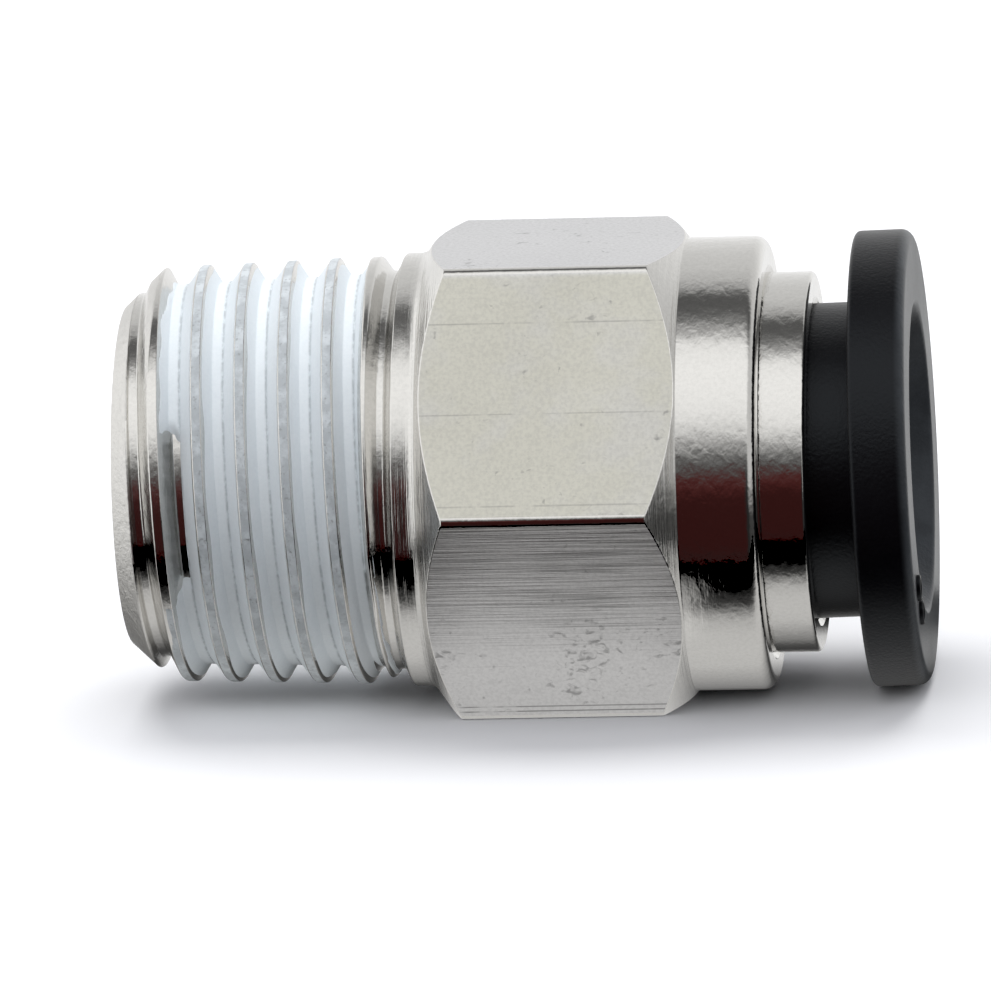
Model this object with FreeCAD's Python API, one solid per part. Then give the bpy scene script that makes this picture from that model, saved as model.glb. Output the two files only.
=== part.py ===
"""Push to connect fitting: a straight male adapter for an 8 mm tube and an R 1/4 taper thread.

The axis of the fitting is X. The tube is pushed in towards -X, and the male thread points to -X.
The origin is on the axis at the gauge plane of the taper thread. Z is up, and the fitting lies on
one flat of its hexagon, so two of the six flats are level. All sizes are in millimetres.
"""
import FreeCAD, Part
import math
import os

from FreeCAD import Vector

# Male taper thread, R 1/4: 19 turns to the inch, 55 degree form, 1 in 16 on the diameter
PITCH = 25.4 / 19
TAPER = 1 / 32                    # growth of the radius for each millimetre of length
GAUGE_LENGTH = 6.0                # from the small end to the gauge plane at X = 0
CREST_RADIUS = 6.50               # at the gauge plane, a little under the basic 6.58
GROOVE_DEPTH = 0.74
GROOVE_ROOT = 0.28                # width of the groove's flat bottom
HALF_ANGLE = math.radians(27.5)
GROOVE_AT_TOP = -0.15             # X where the groove crosses the top of the fitting
GROOVE_END = 2.10                 # where the last turn of the groove stops
END_FACE_RADIUS = 5.20
END_CHAMFER = 1.23                # length of the chamfer at the small end

# Dry sealant wiped onto the thread
SEALANT_FROM = -4.45
SEALANT_TO = 1.35
SEALANT_FLOOR = 0.53              # depth of the coated valley under the crest
SEALANT_FLOOR_WIDTH = 0.34
SEALANT_SKIN = 0.03               # thickness left on the tube side flank

# Neck and hexagon
NECK_RADIUS = 6.64
NECK_FROM = 2.66
RELIEF_RADIUS = 6.20
RELIEF_FROM = 2.05
ACROSS_FLATS = 14.0
HEX_CORNER_ROUND = 0.25
RIDGE_FROM = 4.34                 # ends of the hexagon's full corners
RIDGE_TO = 10.45
THREAD_SIDE_CHAMFER = math.radians(55)    # angle between the chamfer and the axis
TUBE_SIDE_CHAMFER = math.radians(51)
NECK_FILLET = 0.75

# Collar and the bores behind it
COLLAR_RADIUS = 6.95
COLLAR_TO = 13.80
COLLAR_ROUND = 0.50
FLOW_RADIUS = 3.00
SEAT_RADIUS = 4.05                # guides the end of the tube
SEAT_FROM = 0.90                  # the shoulder that stops the tube
SEAT_TO = 5.00
CARTRIDGE_RADIUS = 5.85           # bore for the seal, claws and guide ring

# Rubber sleeve seal
SEAL_FROM = 5.05
SEAL_TO = 8.93
SEAL_BORE = 3.86

# Support ring between the seal and the claws
SUPPORT_FROM = 8.98
SUPPORT_FLOOR = 9.48
SUPPORT_BORE = 4.15
SUPPORT_RADIUS = 5.80

# Claw ring: a stamped base with tongues that lean inwards
CLAW_COUNT = 10
CLAW_THICKNESS = 0.20
CLAW_BASE_FROM = 11.35
CLAW_BASE_INNER = 5.55
CLAW_BASE_OUTER = 5.78
CLAW_PIVOT_RADIUS = 5.40
CLAW_LENGTH = 1.97
CLAW_LEAN = math.radians(52)      # angle between a tongue and the axis
CLAW_SLIT = 4.5                   # degrees between two tongues
AXIAL_PLAY = 0.03                 # lets the claw ring turn with the tube

# Guide ring pressed into the collar
GUIDE_RADIUS = 5.83
GUIDE_TO = 15.20
GUIDE_BORE = 4.90
GUIDE_POCKET = 5.25
GUIDE_LIP_FROM = 13.30

# Release ring
RELEASE_NECK = 4.82
RELEASE_BORE = 4.10
FLANGE_RADIUS = 6.98
FLANGE_FROM = 16.64
FLANGE_TO = 18.37
ENTRY_RADIUS = 4.72
ENTRY_DEPTH = 1.05
BARB_RADIUS = 5.14
BARB_STEP = 13.24                 # shoulder that rests under the guide ring's lip
BARB_TO = 12.55
NOSE_FROM = 10.95
NOSE_RADIUS = 4.30
NOSE_TAPER_FROM = 12.00
SLOT_COUNT = 4
SLOT_WIDTH = 0.60
SLOT_TO = 14.40


def corner_arc(before, corner, after, radius):
    """Points where a rounding of this radius leaves the two sides, and the middle of its arc."""
    to_before = (before - corner).normalize()
    to_after = (after - corner).normalize()
    half = to_before.getAngle(to_after) / 2
    run = radius / math.tan(half)
    start = corner + to_before * run
    end = corner + to_after * run
    bisector = (to_before + to_after).normalize()
    middle = corner + bisector * (radius / math.sin(half) - radius)
    return start, middle, end


def outline(corners):
    """Closed face in the XZ plane through corners (x, radius) or (x, radius, rounding)."""
    points = [Vector(corner[0], 0, corner[1]) for corner in corners]
    rounds = [corner[2] if len(corner) > 2 else 0 for corner in corners]
    count = len(points)
    edges = []
    arcs = []
    for i in range(count):
        if rounds[i]:
            arcs.append(corner_arc(points[i - 1], points[i], points[(i + 1) % count], rounds[i]))
        else:
            arcs.append((points[i], None, points[i]))
    for i in range(count):
        start, middle, end = arcs[i]
        if middle:
            edges.append(Part.Arc(start, middle, end).toShape())
        following = arcs[(i + 1) % count][0]
        if (following - end).Length > 1e-6:
            edges.append(Part.LineSegment(end, following).toShape())
    return Part.Face(Part.Wire(edges))


def turned(corners, angle=360):
    """Solid swept by an outline about the X axis."""
    return outline(corners).revolve(Vector(0, 0, 0), Vector(1, 0, 0), angle)


def crest_radius(x):
    """Radius of the thread's crests, which follow a 1 in 16 taper."""
    return CREST_RADIUS + x * TAPER


def helical_sweep(section, start, end):
    """Sweep a section, points (x offset, radius offset), along the taper thread's helix."""
    lean = math.degrees(math.atan(TAPER))
    helix = Part.makeLongHelix(PITCH, end - start, crest_radius(start), lean)
    helix.rotate(Vector(0, 0, 0), Vector(0, 1, 0), 90)
    helix.translate(Vector(start, 0, 0))
    turn = 180 - 360 * (GROOVE_AT_TOP - start) / PITCH
    helix.rotate(Vector(0, 0, 0), Vector(1, 0, 0), turn)
    first = helix.Edges[0].valueAt(helix.Edges[0].FirstParameter)
    outward = Vector(0, first.y, first.z).normalize()
    points = [first + Vector(x, 0, 0) + outward * r for x, r in section]
    profile = Part.makePolygon(points + points[:1])
    return Part.Wire(helix.Edges).makePipeShell([profile], True, True)


def groove_section(above):
    """Thread groove: flat root, two 27.5 degree flanks, open for a height above the crest."""
    root = GROOVE_ROOT / 2
    mouth = root + (GROOVE_DEPTH + above) * math.tan(HALF_ANGLE)
    return [(-root, -GROOVE_DEPTH), (root, -GROOVE_DEPTH), (mouth, above), (-mouth, above)]


def sealant_section():
    """Sealant in one groove: thin on the flank by the thread's end, thick on the other."""
    root = GROOVE_ROOT / 2
    slope = math.tan(HALF_ANGLE)
    mouth = root + GROOVE_DEPTH * slope
    floor_start = -root - (GROOVE_DEPTH - SEALANT_FLOOR) * slope + SEALANT_SKIN
    floor_end = floor_start + SEALANT_FLOOR_WIDTH
    return [(-root, -GROOVE_DEPTH), (root, -GROOVE_DEPTH), (mouth, 0),
            (floor_end, -SEALANT_FLOOR), (floor_start, -SEALANT_FLOOR),
            (-mouth + SEALANT_SKIN, 0), (-mouth, 0)]


def hexagon():
    """Hexagonal bar between the flats, with lightly rounded corners."""
    corner = ACROSS_FLATS / 2 / math.cos(math.radians(30))
    length = COLLAR_TO - NECK_FROM
    points = []
    for i in range(6):
        turn = math.radians(60 * i)
        points.append(Vector(NECK_FROM, corner * math.cos(turn), corner * math.sin(turn)))
    bar = Part.Face(Part.makePolygon(points + points[:1])).extrude(Vector(length, 0, 0))
    ridges = [edge for edge in bar.Edges if abs(edge.Length - length) < 1e-6]
    return bar.makeFillet(HEX_CORNER_ROUND, ridges)


def body():
    """Nickel plated brass body: taper thread, neck, hexagon, collar and stepped bore."""
    top = ACROSS_FLATS
    corner = ACROSS_FLATS / 2 / math.cos(math.radians(30))
    thread_slope = math.tan(THREAD_SIDE_CHAMFER)
    tube_slope = math.tan(TUBE_SIDE_CHAMFER)
    neck_meets = RIDGE_FROM - (corner - NECK_RADIUS) / thread_slope
    flat_meets = RIDGE_FROM - (corner - ACROSS_FLATS / 2 + 0.01) / thread_slope
    collar_meets = RIDGE_TO + (corner - COLLAR_RADIUS) / tube_slope
    hex_chamfers = turned([
        (neck_meets, 0), (neck_meets, NECK_RADIUS), (RIDGE_FROM, corner),
        (RIDGE_FROM + (top - corner) / thread_slope, top),
        (RIDGE_TO - (top - corner) / tube_slope, top),
        (RIDGE_TO, corner), (collar_meets, COLLAR_RADIUS), (collar_meets, 0)])
    bar = turned([
        (-GAUGE_LENGTH, 0), (-GAUGE_LENGTH, END_FACE_RADIUS, 0.08),
        (-GAUGE_LENGTH + END_CHAMFER, crest_radius(-GAUGE_LENGTH + END_CHAMFER)),
        (RELIEF_FROM, crest_radius(RELIEF_FROM)),
        (RELIEF_FROM + 0.15, RELIEF_RADIUS, 0.12), (NECK_FROM - 0.15, RELIEF_RADIUS, 0.12),
        (NECK_FROM, NECK_RADIUS, 0.05), (neck_meets, NECK_RADIUS, NECK_FILLET),
        (flat_meets, ACROSS_FLATS / 2 - 0.01),
        (COLLAR_TO - 1.5, COLLAR_RADIUS - 0.3), (COLLAR_TO - 1.5, 0)])
    collar = turned([
        (RIDGE_FROM + 1, 0), (RIDGE_FROM + 1, COLLAR_RADIUS - 0.3),
        (collar_meets - 0.2, COLLAR_RADIUS), (COLLAR_TO, COLLAR_RADIUS, COLLAR_ROUND),
        (COLLAR_TO, 0)])
    bore = turned([
        (-GAUGE_LENGTH - 1, 0), (-GAUGE_LENGTH - 1, FLOW_RADIUS + 1.25),
        (-GAUGE_LENGTH + 0.25, FLOW_RADIUS), (SEAT_FROM, FLOW_RADIUS),
        (SEAT_FROM, SEAT_RADIUS), (SEAT_TO, SEAT_RADIUS),
        (SEAT_TO, CARTRIDGE_RADIUS), (COLLAR_TO - 0.22, CARTRIDGE_RADIUS),
        (COLLAR_TO + 0.78, CARTRIDGE_RADIUS + 1.0), (COLLAR_TO + 0.78, 0)])
    solid = hexagon().common(hex_chamfers).fuse(bar).fuse(collar).removeSplitter()
    groove = helical_sweep(groove_section(0.25), -GAUGE_LENGTH - 0.9 * PITCH, GROOVE_END)
    return solid.cut(bore).cut(groove)


def thread_sealant():
    """Dry sealant in the thread's groove, trimmed level with the end chamfer and the crests."""
    chamfer_end = -GAUGE_LENGTH + END_CHAMFER
    past_sealant = SEALANT_TO + 2 * PITCH
    blank = turned([
        (-GAUGE_LENGTH, 0), (-GAUGE_LENGTH, END_FACE_RADIUS),
        (chamfer_end, crest_radius(chamfer_end)), (past_sealant, crest_radius(past_sealant)),
        (past_sealant, 0)])
    return helical_sweep(sealant_section(), SEALANT_FROM, SEALANT_TO).common(blank)


def seal():
    """Rubber sleeve: a flange that fills the bore and a lip that grips the tube."""
    wall = CARTRIDGE_RADIUS - 0.02
    waist = CARTRIDGE_RADIUS - 0.45
    length = SEAL_TO - SEAL_FROM
    return turned([
        (SEAL_FROM, SEAL_BORE + 0.55, 0.2), (SEAL_FROM, wall, 0.15),
        (SEAL_FROM + 0.3 * length, wall, 0.15), (SEAL_FROM + 0.4 * length, waist, 0.3),
        (SEAL_FROM + 0.6 * length, waist, 0.3), (SEAL_FROM + 0.7 * length, wall, 0.15),
        (SEAL_TO, wall, 0.15), (SEAL_TO, SEAL_BORE + 0.5, 0.2),
        (SEAL_TO - 0.45, SEAL_BORE, 0.25), (SEAL_TO - 1.3, SEAL_BORE, 0.25),
        (SEAL_TO - 1.8, SEAL_BORE + 0.35, 0.25), (SEAL_FROM + 1.4, SEAL_BORE + 0.35, 0.25),
        (SEAL_FROM + 1.0, SEAL_BORE, 0.25), (SEAL_FROM + 0.45, SEAL_BORE, 0.25)])


def support_ring():
    """Plastic ring that backs the seal and leaves a cone for the tongues to swing in."""
    top = CLAW_BASE_FROM - AXIAL_PLAY
    return turned([
        (SUPPORT_FROM, SUPPORT_BORE, 0.1), (SUPPORT_FROM, SUPPORT_RADIUS, 0.1),
        (top, SUPPORT_RADIUS), (top, CLAW_BASE_INNER + 0.07),
        (SUPPORT_FLOOR, SUPPORT_BORE + 0.75, 0.1), (SUPPORT_FLOOR, SUPPORT_BORE, 0.1)])


def claw_ring():
    """Flat base of the stamped claw ring."""
    return turned([
        (CLAW_BASE_FROM, CLAW_BASE_INNER), (CLAW_BASE_FROM, CLAW_BASE_OUTER),
        (CLAW_BASE_FROM + CLAW_THICKNESS, CLAW_BASE_OUTER),
        (CLAW_BASE_FROM + CLAW_THICKNESS, CLAW_BASE_INNER)])


def claw(index):
    """One tongue: a sector of a thin cone with a round root and a sharp edge at the tube."""
    half = CLAW_THICKNESS / 2
    along = Vector(-math.cos(CLAW_LEAN), 0, -math.sin(CLAW_LEAN))
    across = Vector(-math.sin(CLAW_LEAN), 0, math.cos(CLAW_LEAN))
    root = Vector(CLAW_BASE_FROM + half, 0, CLAW_PIVOT_RADIUS)
    tip = root + along * CLAW_LENGTH
    back_root = root + across * half
    front_root = root - across * half
    back_tip = tip + across * half
    front_tip = tip - across * half - along * 0.12
    profile = Part.Wire([
        Part.Arc(back_root, root - along * half, front_root).toShape(),
        Part.LineSegment(front_root, front_tip).toShape(),
        Part.LineSegment(front_tip, back_tip).toShape(),
        Part.LineSegment(back_tip, back_root).toShape()])
    sector = 360 / CLAW_COUNT - CLAW_SLIT
    tongue = Part.Face(profile).revolve(Vector(0, 0, 0), Vector(1, 0, 0), sector)
    tongue.rotate(Vector(0, 0, 0), Vector(1, 0, 0), 360 * index / CLAW_COUNT - sector / 2)
    return tongue


def guide_ring():
    """Plated ring pressed into the collar; its lip holds the release ring's barb."""
    back = CLAW_BASE_FROM + CLAW_THICKNESS + AXIAL_PLAY
    return turned([
        (back, GUIDE_POCKET + 0.1), (back, GUIDE_RADIUS), (GUIDE_TO, GUIDE_RADIUS, 0.15),
        (GUIDE_TO, GUIDE_BORE + 0.15), (GUIDE_TO - 0.15, GUIDE_BORE),
        (GUIDE_LIP_FROM, GUIDE_BORE), (GUIDE_LIP_FROM, GUIDE_POCKET),
        (back + 0.1, GUIDE_POCKET)])


def release_ring():
    """Black plastic push ring: flange, neck, barb and a slotted nose that opens the claws."""
    ring = turned([
        (NOSE_FROM, RELEASE_BORE), (NOSE_FROM, NOSE_RADIUS, 0.06),
        (NOSE_TAPER_FROM, RELEASE_NECK - 0.07), (BARB_TO, RELEASE_NECK - 0.07),
        (BARB_STEP - 0.2, BARB_RADIUS), (BARB_STEP, BARB_RADIUS),
        (BARB_STEP, RELEASE_NECK), (FLANGE_FROM, RELEASE_NECK, 0.12),
        (FLANGE_FROM, FLANGE_RADIUS, 0.15), (FLANGE_TO, FLANGE_RADIUS, 0.35),
        (FLANGE_TO, ENTRY_RADIUS, 0.15), (FLANGE_TO - ENTRY_DEPTH, RELEASE_BORE, 0.5)])
    for i in range(SLOT_COUNT):
        slot = Part.makeBox(SLOT_TO - NOSE_FROM + 1, SLOT_WIDTH, FLANGE_RADIUS,
                            Vector(NOSE_FROM - 1, -SLOT_WIDTH / 2, 0))
        slot.rotate(Vector(0, 0, 0), Vector(1, 0, 0), 45 + 360 * i / SLOT_COUNT)
        ring = ring.cut(slot)
    return ring


def write(name, shape):
    """Write one piece as STEP after checking that it is a single sound solid."""
    if len(shape.Solids) != 1 or not shape.isValid():
        raise ValueError(f"{name} has {len(shape.Solids)} solids, valid {shape.isValid()}")
    solid = shape.Solids[0]
    if solid.Volume < 0:
        solid.reverse()
    solid.exportStep(f"parts/{name}.step")
    print(f"{name}: {solid.Volume:.2f} mm3")


os.makedirs("parts", exist_ok=True)
write("body", body())
write("thread_sealant", thread_sealant())
write("seal", seal())
write("support_ring", support_ring())
write("claw_ring", claw_ring())
for number in range(CLAW_COUNT):
    write(f"claw_{number + 1}", claw(number))
write("guide_ring", guide_ring())
write("release_ring", release_ring())
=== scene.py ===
# %% [markdown]
# # A push to connect fitting, built in cells
#
# This notebook dresses a small pneumatic fitting: a nickel plated brass body with a taper thread
# and a hexagon, a white coat of dry sealant on the thread, a plated guide ring and a black
# release ring. Hidden inside are a rubber seal, a support ring and a stamped ring of claws.
#
# The CAD model gives the frame: every size that it holds is read from it, and every piece made
# here rides on one of its bodies. Shapes are worked out with numpy in millimetres and turned into
# metres at the last moment, because a fitting of 24 mm is easier to read in its own unit.

# %% load the frame
import math

import bmesh
import bpy
import numpy as np
from mathutils import Matrix, Vector


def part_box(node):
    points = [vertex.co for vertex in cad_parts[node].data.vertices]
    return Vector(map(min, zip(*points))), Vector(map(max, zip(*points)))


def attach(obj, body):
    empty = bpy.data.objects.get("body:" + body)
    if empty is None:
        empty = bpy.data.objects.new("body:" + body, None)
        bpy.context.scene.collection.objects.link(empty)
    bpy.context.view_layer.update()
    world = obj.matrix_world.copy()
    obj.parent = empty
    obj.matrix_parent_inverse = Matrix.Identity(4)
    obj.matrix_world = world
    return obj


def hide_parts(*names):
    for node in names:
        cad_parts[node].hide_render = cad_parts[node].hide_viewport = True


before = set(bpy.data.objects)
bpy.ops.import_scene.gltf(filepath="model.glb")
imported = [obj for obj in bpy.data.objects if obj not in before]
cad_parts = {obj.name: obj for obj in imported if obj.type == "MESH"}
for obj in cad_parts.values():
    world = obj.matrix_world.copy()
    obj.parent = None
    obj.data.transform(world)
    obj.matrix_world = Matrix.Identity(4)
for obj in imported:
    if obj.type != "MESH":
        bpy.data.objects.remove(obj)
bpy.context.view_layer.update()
MM = 0.001
scene = bpy.context.scene

# %% [markdown]
# ## Sizes taken from the CAD model
#
# A maker works from a few driving dimensions. Those that the CAD boxes show are read from them, so
# the two models can't drift apart: the ends of the body, the width across its flats, and the
# radius and reach of each ring. The rest are the thread's standard sizes and small roundings.

# %% driving dimensions


def extent(node):
    """Lowest and highest corner of a CAD node, in millimetres."""
    low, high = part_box(node)
    return np.array(low) / MM, np.array(high) / MM


body_low, body_high = extent("body")
guide_low, guide_high = extent("guide_ring")
release_low, release_high = extent("release_ring")
seal_low, seal_high = extent("seal")
support_low, support_high = extent("support_ring")
base_low, base_high = extent("claw_ring")

thread_end = body_low[0]
mouth = body_high[0]
flat = body_high[2]
flange_radius = release_high[2]
print(f"body from {thread_end:.2f} to {mouth:.2f} mm, {2 * flat:.2f} mm across flats")

# %% [markdown]
# ## Rounded outlines
#
# Every turned part starts as an outline: a chain of corners, each an X along the axis and a radius
# from it. Real edges are never perfectly sharp, and a sharp edge catches no light, so each corner
# is rounded by a small arc. Two extra points hold the flat sides still beside each arc, so that
# smooth shading stays inside the arc and doesn't bend the reflections on the flats.
#
# A Bevel modifier could do this too, but an outline is worked out once, before it is turned into a
# surface, and it can differ from one angle to the next, which the hexagon needs.

# %% round the corners of an outline
ARC_STEPS = 7
HOLD = 0.02
ARC_SHARE = 0.45
HOLD_SHARE = 0.49
STRAIGHTEST = 0.01


def rounded(corners, radii):
    """Points along an outline whose inner corners are replaced by arcs.

    corners has the shape (corner, x or radius, column). Each arc's centre lies on the bisector of
    its two sides, at radius / sin(half angle) from the corner, and it starts and ends where the
    sides touch it, at radius / tan(half angle), but never past ARC_SHARE of the shorter side.
    """
    before, corner, after = corners[:-2], corners[1:-1], corners[2:]
    radii = np.asarray(radii, float)[:, None, None]
    long_before = np.linalg.norm(before - corner, axis=1, keepdims=True)
    long_after = np.linalg.norm(after - corner, axis=1, keepdims=True)
    a = (before - corner) / long_before
    b = (after - corner) / long_after
    half = np.arccos(np.clip((a * b).sum(1, keepdims=True), -1, 1)) / 2
    half = np.clip(half, STRAIGHTEST, math.pi / 2 - 1e-6)
    shorter = np.minimum(long_before, long_after)
    run = np.minimum(radii / np.tan(half), ARC_SHARE * shorter)
    radius = run * np.tan(half)
    hold = np.minimum(run + HOLD, HOLD_SHARE * shorter)
    middle = (a + b) / np.maximum(np.linalg.norm(a + b, axis=1, keepdims=True), 1e-9)
    across = (b - a) / np.linalg.norm(b - a, axis=1, keepdims=True)
    centre = corner + middle * radius / np.sin(half)
    swing = np.linspace(-1, 1, ARC_STEPS)[None, :, None, None] * (math.pi / 2 - half)[:, None]
    arc = centre[:, None] + radius[:, None] * (
        np.sin(swing) * across[:, None] - np.cos(swing) * middle[:, None])
    held = np.concatenate([
        (corner + a * hold)[:, None], arc, (corner + b * hold)[:, None]], axis=1)
    held = held.reshape(-1, 2, corners.shape[2])
    return np.concatenate([corners[:1], held, corners[-1:]])


def outline(*corners):
    """One rounded outline from corners (x, radius, rounding); its two ends aren't rounded."""
    table = np.array(corners, float)
    return rounded(table[:, :2, None], table[1:-1, 2])[:, :, 0]


def closed_outline(*corners):
    """As outline, but the last side leads back to the start, in the middle of the first side."""
    table = np.array(corners, float)
    start = (table[0] + table[-1]) / 2
    return outline(start, *table, start)


print("an outline of 4 corners has", len(closed_outline(
    (0, 1, 0.1), (1, 1, 0.1), (1, 2, 0.1), (0, 2, 0.1))), "points")

# %% [markdown]
# ## From outline to surface
#
# Carried round the axis, an outline becomes a grid of points: one row for each point of the
# outline, one column for each angle. The angle is counted from the top, turning towards the
# front. The last column lies on the first, and a merge of doubles closes the seam and also
# removes the faces that have shrunk to nothing.
#
# Blender's Screw or Spin tools turn an outline too. Worked out as one array, the same few lines
# also make the hexagon and the thread, where the radius changes with the angle.

# %% grids into meshes
TURN = 2 * math.pi
MERGE = 2e-7


def carried_round(x, radius, angle):
    """Points at x along the axis and at radius and angle round it, from the top to the front."""
    x, radius, angle = np.broadcast_arrays(x, radius, angle)
    return np.stack([x, -radius * np.sin(angle), radius * np.cos(angle)], axis=-1)


def grid_faces(rows, columns, offset):
    """Corner numbers of every four-sided face of a grid, facing out where X grows row by row."""
    row, column = np.meshgrid(np.arange(rows - 1), np.arange(columns - 1), indexing="ij")
    corner = offset + row * columns + column
    faces = np.stack([corner, corner + 1, corner + columns + 1, corner + columns], axis=-1)
    return faces.reshape(-1, 4)


def make_piece(name, grids, material, body, nodes):
    """One smooth, closed object from grids of points in millimetres, riding on a CAD body."""
    points, faces, offset = [], [], 0
    for grid in grids:
        faces.append(grid_faces(grid.shape[0], grid.shape[1], offset))
        points.append(grid.reshape(-1, 3) * MM)
        offset += len(points[-1])
    mesh = bpy.data.meshes.new(name)
    mesh.from_pydata(np.concatenate(points), [], np.concatenate(faces))
    work = bmesh.new()
    work.from_mesh(mesh)
    bmesh.ops.remove_doubles(work, verts=work.verts, dist=MERGE)
    open_edges = sum(1 for edge in work.edges if not edge.is_manifold)
    work.to_mesh(mesh)
    work.free()
    mesh.shade_smooth()
    mesh.materials.append(material)
    piece = bpy.data.objects.new(name, mesh)
    scene.collection.objects.link(piece)
    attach(piece, body)
    if nodes:
        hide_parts(*nodes)
    print(f"{name}: {len(mesh.polygons)} faces, {open_edges} open edges")
    return piece


def lathe(profile, columns):
    """Grid of a closed outline carried once round the axis."""
    angle = np.linspace(0, TURN, columns + 1)
    return carried_round(profile[:, :1], profile[:, 1:], angle)


# %% [markdown]
# ## Node groups that the finishes share
#
# A few small effects turn up again and again on this object: turning marks left by a lathe, streaks
# left by drawing a bar (whose group also gives the masks for a painted reflection and a painted
# highlight on the flats), pits, the grain of a mould, and slow changes over a surface. Each is a
# node group with its own inputs and outputs, so every material sets its own strength. They read
# Object coordinates, so they sit still on a piece whatever the camera does.

# %% a helper for node trees


class Nodes:
    """Adds nodes to a tree and links them, so that a recipe reads from top to bottom."""

    def __init__(self, tree):
        self.tree = tree
        self.tree.nodes.clear()

    def add(self, kind, settings=None, **inputs):
        """A node with some settings; each input is a value, or a socket to link from."""
        node = self.tree.nodes.new(kind)
        for key, value in (settings or {}).items():
            setattr(node, key, value)
        for key, value in inputs.items():
            self.set(node, key, value)
        return node

    def set(self, node, key, value):
        """Set or link one input, named by its number (in0, in1) or by its label."""
        numbered = key.startswith("in") and key[2:].isdigit()
        place = int(key[2:]) if numbered else key.replace("_", " ")
        socket = node.inputs[place]
        if isinstance(value, bpy.types.NodeSocket):
            self.tree.links.new(value, socket)
        else:
            socket.default_value = value

    def math(self, operation, first, second=0.0, third=0.0, clamp=False):
        """Result of one sum; an unused input is left alone."""
        node = self.add("ShaderNodeMath", {"operation": operation, "use_clamp": clamp},
                        in0=first, in1=second, in2=third)
        return node.outputs[0]

    def noise(self, vector, scale, detail=4.0, roughness=0.55, distortion=0.0):
        """Value of a noise texture read at a vector."""
        node = self.add("ShaderNodeTexNoise", None, Vector=vector, Scale=scale, Detail=detail,
                        Roughness=roughness, Distortion=distortion)
        return node.outputs[0]

    def stretched(self, vector, scale):
        """The vector with each direction multiplied, to stretch or squeeze a pattern."""
        node = self.add("ShaderNodeMapping", None, Vector=vector, Scale=scale)
        return node.outputs[0]

    def remap(self, value, low, high, to_low=0.0, to_high=1.0):
        """The value taken from one range to another, held inside it."""
        node = self.add("ShaderNodeMapRange", {"interpolation_type": "SMOOTHSTEP"}, in0=value,
                        in1=low, in2=high, in3=to_low, in4=to_high)
        return node.outputs[0]

    def blend(self, factor, first, second):
        """Colour between two colours."""
        node = self.add("ShaderNodeMix", {"data_type": "RGBA"}, in0=factor, in6=first, in7=second)
        return node.outputs[2]


def group(name, inputs, outputs, recipe):
    """A node group with named float inputs (name, default) and float outputs."""
    tree = bpy.data.node_groups.new(name, "ShaderNodeTree")
    for label, default in inputs:
        socket = tree.interface.new_socket(label, in_out="INPUT", socket_type="NodeSocketFloat")
        socket.default_value = default
    for label in outputs:
        tree.interface.new_socket(label, in_out="OUTPUT", socket_type="NodeSocketFloat")
    nodes = Nodes(tree)
    start = nodes.add("NodeGroupInput")
    end = nodes.add("NodeGroupOutput")
    place = nodes.add("ShaderNodeTexCoord").outputs["Object"]
    results = recipe(nodes, {label: start.outputs[label] for label, _ in inputs}, place)
    for label, value in zip(outputs, results):
        tree.links.new(value, end.inputs[label])
    print("node group", name, "->", ", ".join(outputs))
    return tree


def use(nodes, tree, **inputs):
    """Place a group in a material and give back its outputs by name."""
    node = nodes.add("ShaderNodeGroup", {"node_tree": tree})
    for key, value in inputs.items():
        nodes.set(node, key, value)
    return node.outputs


# %% [markdown]
# ### Turning marks
#
# A lathe tool leaves a fine screw line round the part. Across the axis nothing changes, so the
# pattern is noise that depends almost only on X, squeezed until its lines are a few hundredths of
# a millimetre apart. A little of the other two directions breaks the lines up.

# %% turning marks
COARSE_LINES = (9000, 60, 60)
FINE_LINES = (26000, 250, 250)


def turning_recipe(nodes, inputs, place):
    """Height of the lathe's lines: coarse and fine noise along X, faintly broken round the part."""
    coarse = nodes.noise(nodes.stretched(place, COARSE_LINES), 1.0, 2.0)
    fine = nodes.noise(nodes.stretched(place, FINE_LINES), 1.0, 2.0)
    lines = nodes.math("MULTIPLY_ADD", fine, 0.45, coarse)
    centred = nodes.math("SUBTRACT", lines, 0.72)
    patch = nodes.remap(nodes.noise(place, 420, 3.0), 0.35, 0.65, 0.5, 1.0)
    return (nodes.math("MULTIPLY", nodes.math("MULTIPLY", centred, patch), inputs["Strength"]),)


turning_marks = group("turning_marks", [("Strength", 1.0)], ["Height"], turning_recipe)

# %% [markdown]
# ### Drawn streaks
#
# The flats are the skin of the drawn bar. The die has left fine lines along it and a few deeper
# scores; here the lines are made dense on the lower half and nearly gone above. The same noise is
# squeezed across the bar this time, and each score is a thin band at its own height. Two more masks
# pick out the upper slanted flats, for a warm painted reflection, and the flat on top, for a pale
# painted highlight.

# %% drawn streaks
WIDE_STREAKS = (70, 3000, 5200)
FINE_STREAKS = (160, 9000, 15000)
# Each score: its height above the axis and its half width, in metres, and how dark it is.
SCORES = ((0.00549, 0.000028, 0.35), (0.00298, 0.000025, 0.30), (-0.00655, 0.00003, 0.8),
          (-0.00672, 0.00003, 0.9), (0.00045, 0.00003, 0.3))


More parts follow.
